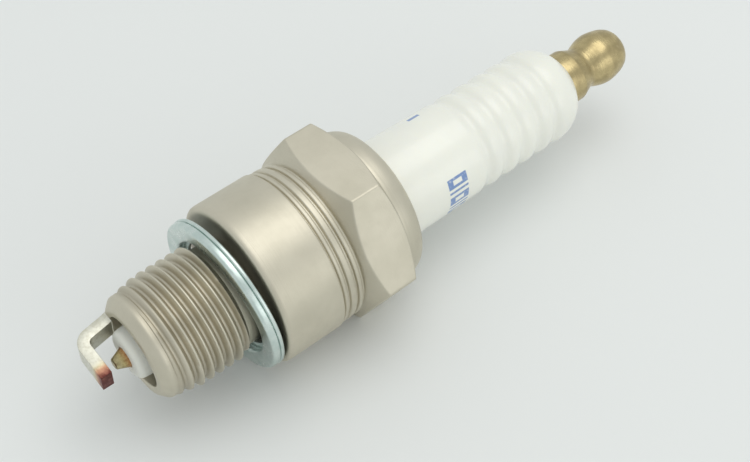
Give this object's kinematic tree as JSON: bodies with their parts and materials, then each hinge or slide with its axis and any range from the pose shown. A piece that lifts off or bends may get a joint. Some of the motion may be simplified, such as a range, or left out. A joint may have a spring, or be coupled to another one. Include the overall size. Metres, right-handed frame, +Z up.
{
  "type": "spark plug",
  "caption": "Spark plug: threaded metal shell with a hexagon, ribbed ceramic insulator, centre and side electrodes at a small gap, loose sealing gasket and screw-on terminal nut.",
  "frame": {"origin": "on the plug's axis, in the plane of the shell's gasket seat", "axes": "+X along the axis towards the terminal, thread and electrodes towards -X; +Z up with the plug lying on one flat of its hexagon; the side electrode is rooted near +Y"},
  "size_m": [0.0764, 0.024, 0.0208],
  "materials": {
    "shell_plating": "satin nickel plating with a faint warm tint",
    "electrode_nickel": "matt nickel alloy, heat tinted at its end",
    "gasket_zinc": "satin zinc with a cool green tint",
    "ceramic": "glossy white glaze over alumina ceramic",
    "copper": "plain copper",
    "glass_seal": "dark fused metal and glass",
    "resistor_body": "black carbon and glass",
    "stud_steel": "plain turned steel",
    "terminal_brass": "dull turned brass",
    "packing_steel": "plain steel wire and strip",
    "talc": "pressed pale powder"
  },
  "bodies": {
    "plug": {"shell": "shell_plating", "ground_electrode": "electrode_nickel", "insulator": "ceramic", "centre_electrode": "electrode_nickel", "copper_core": "copper", "lower_glass_seal": "glass_seal", "resistor": "resistor_body", "upper_glass_seal": "glass_seal", "terminal_stud": "stud_steel", "packing_washer": "packing_steel", "lower_packing_ring": "packing_steel", "talc_packing": "talc", "upper_packing_ring": "packing_steel"},
    "terminal_nut": {"terminal_nut": "terminal_brass"},
    "gasket": {"gasket": "gasket_zinc"}
  },
  "joints": [
    {"name": "terminal_nut_unscrew", "type": "slide", "parent": "plug", "child": "terminal_nut", "axis": [1, 0, 0], "range_m": [0, 0.0085]},
    {"name": "gasket_slide", "type": "slide", "parent": "plug", "child": "gasket", "axis": [1, 0, 0], "range_m": [-0.0009, 0.0003]}
  ]
}
